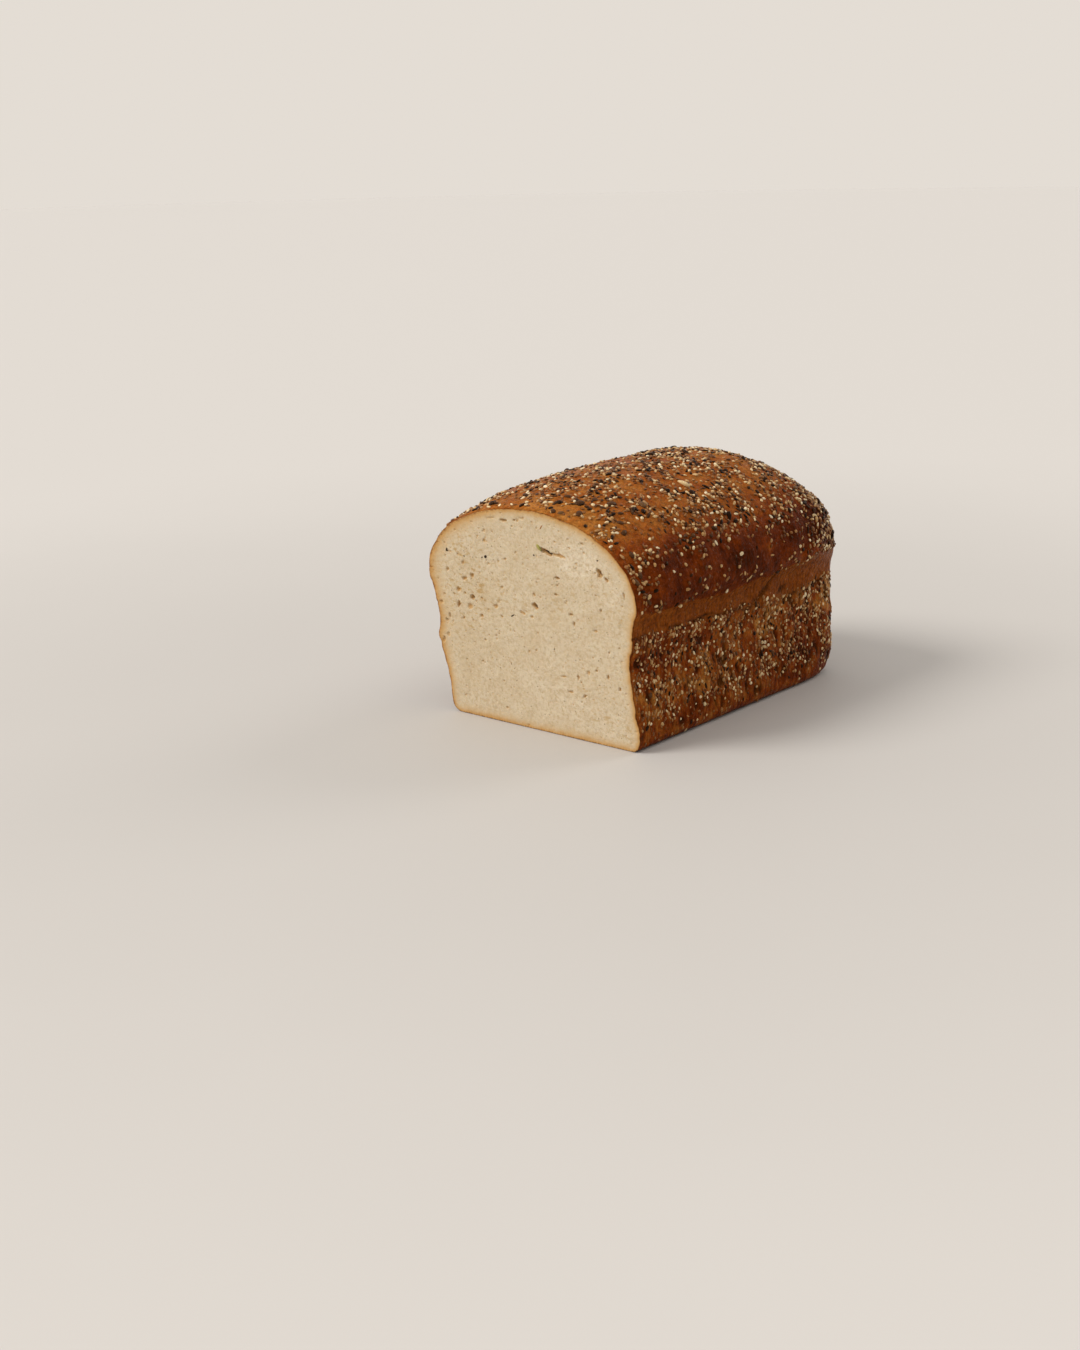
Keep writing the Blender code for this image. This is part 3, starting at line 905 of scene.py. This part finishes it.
def lay_seeds(crust, kind, draw, taken):
    """One joined mesh of all the seeds of a kind, at places that no other seed has."""
    sizes, (sides, rings, wanted, sunk, taper, wall_share) = SEEDS[kind][:4], SEEDS[kind][4:]
    length, width, thickness, clear_way = np.array(sizes) * MM
    places, normals = crust_samples(crust, wanted * SAMPLES_A_SEED, draw)
    chances = seed_share(places - SECTION_ORIGIN, wall_share, 0.6 * length)
    found = clear_places(places, chances, clear_way, wanted, draw, taken)
    shape, faces = seed_form(length, width, thickness, sides, rings, taper)
    shade = SEED_SHADE * (1 - fade(shape[:, 2] / thickness, -0.35, 0.3))
    bodies, lots = [], []
    for across, along, height, turn, size, wide in NAMED_SEEDS.get(kind, ()):
        near = SECTION_ORIGIN + np.array((across, along, height)) * MM
        place, normal = crust.closest_point_on_mesh(near)[1:3]
        lie = Euler((NAMED_SEED_ROLL, 0, math.radians(turn))).to_matrix()
        turn = normal.to_track_quat("Z", "Y").to_matrix() @ lie
        body = shape * (size, size * wide, size)
        bodies.append(body @ np.array(turn).T + np.array(place - normal * thickness * sunk))
        lots.append(NAMED_SEED_TONE - shade)
    for i in found:
        size = np.clip(draw.normal(1, SIZE_SPREAD, 3), *SIZE_LIMITS) * draw.uniform(*SIZE_LOTS)
        roll, pitch = draw.normal(0, ROLL_SPREAD), draw.normal(0, PITCH_SPREAD)
        yaw = draw.uniform(0, math.tau)
        lot, deep = draw.random() ** PALE_POWER, sunk + draw.uniform(*SUNK_LOTS)
        if places[i][2] < BAND_LOWS[0]:
            yaw = math.pi / 2 + draw.normal(0, WALL_SEED_TURN)
            deep += WALL_SEED_SUNK
            lot = WALL_SEED_TONES[0] + WALL_SEED_TONES[1] * lot
            size *= WALL_SEED_SIZE
        turn = Vector(normals[i]).to_track_quat("Z", "Y").to_matrix() @ Euler((0, 0, yaw)).to_matrix()
        turn = np.array(turn @ Euler((roll, pitch, 0)).to_matrix())
        bodies.append((shape * size) @ turn.T + places[i] - normals[i] * thickness * deep)
        lots.append(lot - shade)
    shift = (np.arange(len(bodies)) * len(shape))[:, None, None]
    joined = mesh_object(kind, np.concatenate(bodies), (faces[None] + shift).reshape(-1, 3).tolist())
    set_attribute(joined, "lot", np.concatenate(lots))
    return joined


# Materials

def fill(socket, value):
    """Links a value into the socket, or sets it there where it is a plain number or colour."""
    if isinstance(value, bpy.types.NodeSocket):
        socket.id_data.links.new(value, socket)
    elif isinstance(value, tuple) and socket.type == "RGBA":
        socket.default_value = (*value, 1)
    else:
        socket.default_value = value


def add(tree, kind, inputs=(), **settings):
    """A new node with these settings and (name, value) of these inputs."""
    node = tree.nodes.new(kind)
    for name, value in settings.items():
        setattr(node, name, value)
    for name, value in inputs:
        fill(node.inputs[name], value)
    return node


def new_material(name):
    material = bpy.data.materials.new(name)
    material.use_nodes = True
    return material, material.node_tree


def paint(tree, **inputs):
    """Gives the surface its colour, gloss and so on, by the name of the shader's input."""
    for name, value in inputs.items():
        fill(tree.nodes["Principled BSDF"].inputs[name.replace("_", " ")], value)


def attribute(tree, name):
    return add(tree, "ShaderNodeAttribute", attribute_name=name).outputs["Fac"]


def coordinates(tree, scale=(1, 1, 1)):
    place = add(tree, "ShaderNodeTexCoord").outputs["Object"]
    if scale == (1, 1, 1):
        return place
    return add(tree, "ShaderNodeMapping", [("Scale", scale), ("Vector", place)]).outputs["Vector"]


def noise_node(tree, size, detail=3.0, rough=0.55, scale=(1, 1, 1)):
    inputs = [("Scale", 1 / size), ("Detail", detail), ("Roughness", rough),
              ("Vector", coordinates(tree, scale))]
    return add(tree, "ShaderNodeTexNoise", inputs).outputs["Fac"]


def spots_node(tree, size):
    inputs = [("Scale", 1 / size), ("Vector", coordinates(tree))]
    return add(tree, "ShaderNodeTexVoronoi", inputs).outputs["Distance"]


def ramp(tree, value, stops, smooth=False):
    """Colour or grey by value: stops are (place, grey or colour)."""
    node = add(tree, "ShaderNodeValToRGB", [("Fac", value)])
    if smooth:
        node.color_ramp.interpolation = "EASE"
    while len(node.color_ramp.elements) < len(stops):
        node.color_ramp.elements.new(1.0)
    for element, (place, tone) in zip(node.color_ramp.elements, stops):
        element.position = place
        element.color = (*tone, 1) if isinstance(tone, tuple) else (tone, tone, tone, 1)
    return node.outputs["Color"]


def mix(tree, share, first, second, how="MIX"):
    node = add(tree, "ShaderNodeMix", data_type="RGBA", blend_type=how)
    for name, value in (("Factor", share), ("A", first), ("B", second)):
        fill(next(i for i in node.inputs if i.name == name and i.enabled), value)
    return next(o for o in node.outputs if o.enabled)


def maths(tree, operation, *values):
    node = add(tree, "ShaderNodeMath", operation=operation)
    for socket, value in zip(node.inputs, values):
        fill(socket, value)
    return node.outputs[0]


def height_above(tree):
    return add(tree, "ShaderNodeSeparateXYZ", [("Vector", coordinates(tree))]).outputs["Z"]


def bump(tree, layers):
    """The surface's normal with bumps of (height, distance in metres, strength), one after another."""
    normal = None
    for height, distance, strength in layers:
        inputs = [("Strength", strength), ("Distance", distance), ("Height", height)]
        node = add(tree, "ShaderNodeBump", inputs)
        if normal is not None:
            fill(node.inputs["Normal"], normal)
        normal = node.outputs["Normal"]
    return normal


BAKE_TONES = (
    (0.00, (0.49, 0.225, 0.056)),
    (0.20, (0.375, 0.137, 0.024)),
    (0.40, (0.287, 0.076, 0.0098)),
    (0.58, (0.200, 0.036, 0.0030)),
    (0.78, (0.105, 0.016, 0.0016)),
    (1.00, (0.026, 0.006, 0.0012)),
)
BAND_TONES = ((0.30, (0.11, 0.024, 0.0025)), (0.5, (0.225, 0.054, 0.0050)), (0.70, (0.35, 0.110, 0.014)))
# Painted shade in the creases, dents and torn line
CREASE_SHADE_COLOUR = (0.022, 0.007, 0.002)
CRUST_GLOSS_TINT = (1.0, 0.52, 0.24)


def crust_material():
    material, tree = new_material("seeded_crust")
    patches = noise_node(tree, 16 * MM, 4, 0.6)
    mottle = noise_node(tree, 4.5 * MM, 5, 0.65)
    fine = noise_node(tree, 1.1 * MM, 4, 0.6)
    streaks = noise_node(tree, 3.0 * MM, 4, 0.62, (1, 1, 0.36))
    fibres = noise_node(tree, 1.6 * MM, 4, 0.6, (1, 1, 0.12))
    height = maths(tree, "MULTIPLY", height_above(tree), 1 / 0.14)
    on_dome = ramp(tree, height, [(0.50, 0.0), (0.58, 0.7), (0.80, 1.0)])
    lines = mix(tree, on_dome, streaks, mottle)
    pebbles = noise_node(tree, 2.3 * MM, 2, 0.5)
    uneven = mix(tree, 0.5, lines, mix(tree, 0.5, patches, mix(tree, 0.5, mottle, pebbles)))
    contrast = ramp(tree, height, [(0.50, 1.0), (0.60, 0.42)])
    tone_and_light = maths(tree, "MULTIPLY", maths(tree, "MULTIPLY_ADD", uneven, 2.4, -1.2), contrast)
    colour = ramp(tree, maths(tree, "ADD", tone_and_light, attribute(tree, "tone_and_light")), BAKE_TONES)
    band_tone = mix(tree, 0.5, fibres, mix(tree, 0.5, patches, mottle))
    colour = mix(tree, attribute(tree, "band"), colour, ramp(tree, band_tone, BAND_TONES))
    colour = mix(tree, 0.75, colour, ramp(tree, fine, [(0.34, 0.78), (0.62, 1.08)]), "MULTIPLY")
    # Painted light and shade: darker in the hollows of the pebbled bumps, paler on their tops.
    colour = mix(tree, 0.8, colour, ramp(tree, pebbles, [(0.34, 0.6), (0.60, 1.18)]), "MULTIPLY")
    # Painted shade in the creases, dents and torn line.
    colour = mix(tree, maths(tree, "MULTIPLY", attribute(tree, "crease_shade"), 0.9), colour, CREASE_SHADE_COLOUR)
    rough = ramp(tree, mottle, [(0.3, 0.22), (0.7, 0.38)])
    glints = ramp(tree, noise_node(tree, 1.9 * MM, 2, 0.5), [(0.62, 0.02), (0.72, 0.24)])
    wave = noise_node(tree, 7 * MM, 4, 0.6, (1, 1, 0.35))
    ridge = maths(tree, "ABSOLUTE", maths(tree, "SUBTRACT", wave, 0.5))
    wrinkles = ramp(tree, ridge, [(0.0, 0.0), (0.05, 1.0)])
    normal = bump(tree, [(wrinkles, 0.35 * MM, 0.5), (lines, 0.9 * MM, 0.6), (pebbles, 1.2 * MM, 0.9),
                         (fine, 0.28 * MM, 0.9)])
    paint(tree, Base_Color=colour, Roughness=rough, Specular_IOR_Level=glints,
          Specular_Tint=CRUST_GLOSS_TINT, Normal=normal)
    return material


CRUMB_LIGHT = (0.63, 0.522, 0.368)
CRUMB_MIDDLE = (0.575, 0.455, 0.298)
CRUMB_SHADE = (0.49, 0.365, 0.215)
CRUMB_SPECK = (0.20, 0.14, 0.085)
CRUMB_STAIN = (0.44, 0.285, 0.118)
# Pores: walls partly their own toasted tone, partly painted shade; painted shadow in their depths
PORE_TONE_AND_SHADE = (0.47, 0.265, 0.092)
PORE_SHADOW = (0.06, 0.028, 0.012)
CRUMB_PALE = (0.74, 0.635, 0.48)
RIM_TONES = (
    (0.00, (0.20, 0.072, 0.016)),
    (0.05, (0.40, 0.195, 0.055)),
    (0.13, (0.51, 0.285, 0.097)),
    (0.36, (0.550, 0.372, 0.188)),
    (0.75, (0.590, 0.445, 0.270)),
)


def crumb_material():
    material, tree = new_material("crumb")
    patches = noise_node(tree, 16 * MM, 5, 0.6)
    cells = noise_node(tree, 1.9 * MM, 5, 0.68)
    fine = noise_node(tree, 0.7 * MM, 4, 0.6)
    colour = ramp(tree, patches, [(0.32, CRUMB_MIDDLE), (0.66, CRUMB_LIGHT)])
    colour = mix(tree, maths(tree, "MULTIPLY", attribute(tree, "pale"), 0.85), colour, CRUMB_PALE)
    colour = mix(tree, ramp(tree, cells, [(0.34, 0.85), (0.54, 0.0)]), colour, CRUMB_SHADE)
    colour = mix(tree, 0.8, colour, ramp(tree, fine, [(0.3, 0.90), (0.7, 1.06)]), "MULTIPLY")
    bran = spots_node(tree, 2.7 * MM)
    rare = ramp(tree, noise_node(tree, 3.0 * MM, 2), [(0.46, 0.0), (0.56, 0.85)])
    speck = maths(tree, "MULTIPLY", ramp(tree, bran, [(0.09, 1.0), (0.17, 0.0)]), rare)
    colour = mix(tree, speck, colour, CRUMB_SPECK)
    blots = ramp(tree, noise_node(tree, 2.6 * MM, 3, 0.6, (0.55, 1, 1)), [(0.56, 0.0), (0.68, 0.9)])
    colour = mix(tree, maths(tree, "MULTIPLY", blots, attribute(tree, "stain")), colour, CRUMB_STAIN)
    # Pores: orange walls, partly their toasted tone and partly painted shade, and painted shadow in their
    # depths.
    pit = attribute(tree, "pit")
    inner = ramp(tree, pit, [(0.50, PORE_TONE_AND_SHADE), (0.75, PORE_SHADOW)])
    colour = mix(tree, ramp(tree, pit, [(0.03, 0.0), (0.40, 0.9)]), colour, inner)
    wander = maths(tree, "MULTIPLY_ADD", noise_node(tree, 2.4 * MM, 5, 0.65), 1.5, -0.75)
    rim = maths(tree, "MULTIPLY", maths(tree, "ADD", attribute(tree, "rim"), wander), 0.2)
    share = ramp(tree, rim, [(0.20, 0.96), (1.0, 0.0)])
    colour = mix(tree, share, colour, ramp(tree, rim, RIM_TONES))
    normal = bump(tree, [(cells, 0.5 * MM, 0.5), (fine, 0.14 * MM, 0.5)])
    paint(tree, Base_Color=colour, Roughness=0.85, Specular_IOR_Level=0.2, Normal=normal,
          Subsurface_Weight=0.12, Subsurface_Radius=(1.0, 0.6, 0.3), Subsurface_Scale=1.2 * MM)
    return material


PALE_TONES = (
    (0.00, (0.12, 0.038, 0.009)),
    (0.25, (0.30, 0.125, 0.036)),
    (0.55, (0.52, 0.31, 0.125)),
    (0.78, (0.74, 0.55, 0.29)),
    (1.00, (0.89, 0.76, 0.52)),
)
DARK_TONES = (
    (0.00, (0.014, 0.006, 0.003)),
    (0.50, (0.034, 0.014, 0.006)),
    (0.85, (0.090, 0.038, 0.015)),
    (1.00, (0.15, 0.075, 0.030)),
)
BRAN_TONES = (
    (0.00, (0.055, 0.016, 0.004)),
    (0.35, (0.15, 0.048, 0.011)),
    (0.70, (0.32, 0.13, 0.034)),
    (1.00, (0.55, 0.32, 0.12)),
)
CRUMB_SEED_TONES = (
    (0.05, (0.016, 0.011, 0.008)),
    (0.25, (0.09, 0.055, 0.028)),
    (0.40, (0.36, 0.15, 0.045)),
    (0.62, (0.33, 0.30, 0.085)),
)
SEED_GLOSS_TINT = (1.0, 0.66, 0.4)

# Roughness, specular level and size of the stains of each kind of seed
DARK_SURFACE = (0.26, 0.08, 1.2 * MM)
PALE_SURFACE = (0.28, 0.4, 0.9 * MM)
BRAN_SURFACE = (0.35, 0.25, 0.9 * MM)
CRUMB_SEED_SURFACE = (0.45, 0.3, 1.0 * MM)


def seed_material(name, tones, rough, gloss, grain_size):
    material, tree = new_material(name)
    colour = ramp(tree, attribute(tree, "lot"), tones)
    stain = noise_node(tree, grain_size, 3)
    colour = mix(tree, 0.75, colour, ramp(tree, stain, [(0.3, 0.55), (0.6, 1.08)]), "MULTIPLY")
    paint(tree, Base_Color=colour, Roughness=rough, Specular_IOR_Level=gloss,
          Specular_Tint=SEED_GLOSS_TINT, Normal=bump(tree, [(stain, 0.15 * MM, 0.5)]))
    return material


FLOOR_NEAR = (0.540, 0.513, 0.487)
FLOOR_FAR = (0.622, 0.593, 0.565)
FLOOR_RADIUS = 6
FLOOR_GAP = 0.2 * MM

# Lights: turn to the left of the camera's view, elevation and breadth in degrees, power, colour
LIGHTS = {
    "key": (104, 41, 26, 2.1, (1.0, 0.975, 0.93)),
    "fill": (-62, 32, 28, 0.65, (1.0, 0.97, 0.92)),
}


def floor_material():
    material, tree = new_material("pale_floor")
    away = add(tree, "ShaderNodeVectorMath", operation="LENGTH")
    fill(away.inputs[0], coordinates(tree))
    cloud = maths(tree, "MULTIPLY_ADD", noise_node(tree, 0.35, 3), 0.2, away.outputs["Value"])
    tone = ramp(tree, cloud, [(0.3, FLOOR_NEAR), (0.95, FLOOR_FAR)], True)
    paint(tree, Base_Color=tone, Roughness=0.6, Specular_IOR_Level=0.2)
    return material


# Studio

def make_floor():
    form = bmesh.new()
    bmesh.ops.create_circle(form, cap_ends=True, segments=96, radius=FLOOR_RADIUS)
    mesh = bpy.data.meshes.new("floor")
    form.to_mesh(mesh)
    form.free()
    floor = bpy.data.objects.new("floor", mesh)
    bpy.context.scene.collection.objects.link(floor)
    floor.location = (0, 0, -FLOOR_GAP)
    mesh.materials.append(floor_material())


def sun_light(name, left_of_view, elevation, breadth, power, colour):
    """A large soft light, turned to the left of the camera's view, all in degrees."""
    data = bpy.data.lights.new(name, "SUN")
    data.angle = math.radians(breadth)
    data.energy = power
    data.color = colour
    light = bpy.data.objects.new(name, data)
    bpy.context.scene.collection.objects.link(light)
    away = CAMERA_AZIMUTH + math.radians(left_of_view)
    high = math.radians(elevation)
    towards = Vector((-math.sin(away) * math.cos(high), math.cos(away) * math.cos(high), math.sin(high)))
    light.rotation_mode = "QUATERNION"
    light.rotation_quaternion = towards.to_track_quat("Z", "Y")


WORLD_TOWARDS = Vector((-0.55, -0.35, 0.76)).normalized()
WORLD_BRIGHT = (0.80, 0.775, 0.74)
WORLD_DIM = (0.34, 0.325, 0.31)
WORLD_SEEN = (0.775, 0.722, 0.660)


def make_world():
    """A pale room that is brighter on one side; what the camera sees of it is one even tone."""
    world = bpy.data.worlds.new("studio")
    world.use_nodes = True
    tree = world.node_tree
    lit = tree.nodes["Background"]
    facing = add(tree, "ShaderNodeVectorMath", operation="DOT_PRODUCT")
    fill(facing.inputs[0], add(tree, "ShaderNodeTexCoord").outputs["Generated"])
    fill(facing.inputs[1], WORLD_TOWARDS)
    share = maths(tree, "MULTIPLY_ADD", facing.outputs["Value"], 0.5, 0.5)
    fill(lit.inputs["Color"], ramp(tree, share, [(0.15, WORLD_DIM), (0.9, WORLD_BRIGHT)]))
    seen = add(tree, "ShaderNodeBackground", [("Color", WORLD_SEEN)])
    camera_ray = add(tree, "ShaderNodeLightPath").outputs["Is Camera Ray"]
    blend = add(tree, "ShaderNodeMixShader", [("Fac", camera_ray), (1, lit.outputs[0]), (2, seen.outputs[0])])
    fill(tree.nodes["World Output"].inputs["Surface"], blend.outputs[0])
    bpy.context.scene.world = world


def make_camera():
    data = bpy.data.cameras.new("camera")
    data.lens = LENS
    camera = bpy.data.objects.new("camera", data)
    bpy.context.scene.collection.objects.link(camera)
    turn = (Matrix.Rotation(CAMERA_AZIMUTH, 4, "Z") @ Matrix.Rotation(math.pi / 2 + CAMERA_PITCH, 4, "X")
            @ Matrix.Rotation(CAMERA_ROLL, 4, "Z"))
    camera.matrix_world = Matrix.Translation(CAMERA_AT) @ turn
    bpy.context.scene.camera = camera


def dress(piece, material):
    """Gives a piece its material and names its place in the frame."""
    piece.data.materials.append(material)
    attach(piece, "root")


def build():
    draw = np.random.default_rng(RANDOM_SEED)
    crust, edge = crust_shell()
    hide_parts("rye_loaf")
    dress(crust, crust_material())
    dress(crumb_slab(edge, draw), crumb_material())
    cut_seed = seed_material("crumb_seed", CRUMB_SEED_TONES, *CRUMB_SEED_SURFACE)
    dress(crumb_seeds(), cut_seed)
    dark = seed_material("dark_seed", DARK_TONES, *DARK_SURFACE)
    pale = seed_material("pale_seed", PALE_TONES, *PALE_SURFACE)
    bran = seed_material("bran", BRAN_TONES, *BRAN_SURFACE)
    taken = {}
    for kind in SEEDS:
        seeds = lay_seeds(crust, kind, draw, taken)
        if kind in DARK_KINDS:
            dress(seeds, dark)
        else:
            dress(seeds, bran if kind == "bran_flakes" else pale)


build()
make_floor()
make_world()
for name, settings in LIGHTS.items():
    sun_light(name, *settings)
make_camera()
bpy.context.scene.view_settings.view_transform = "Standard"
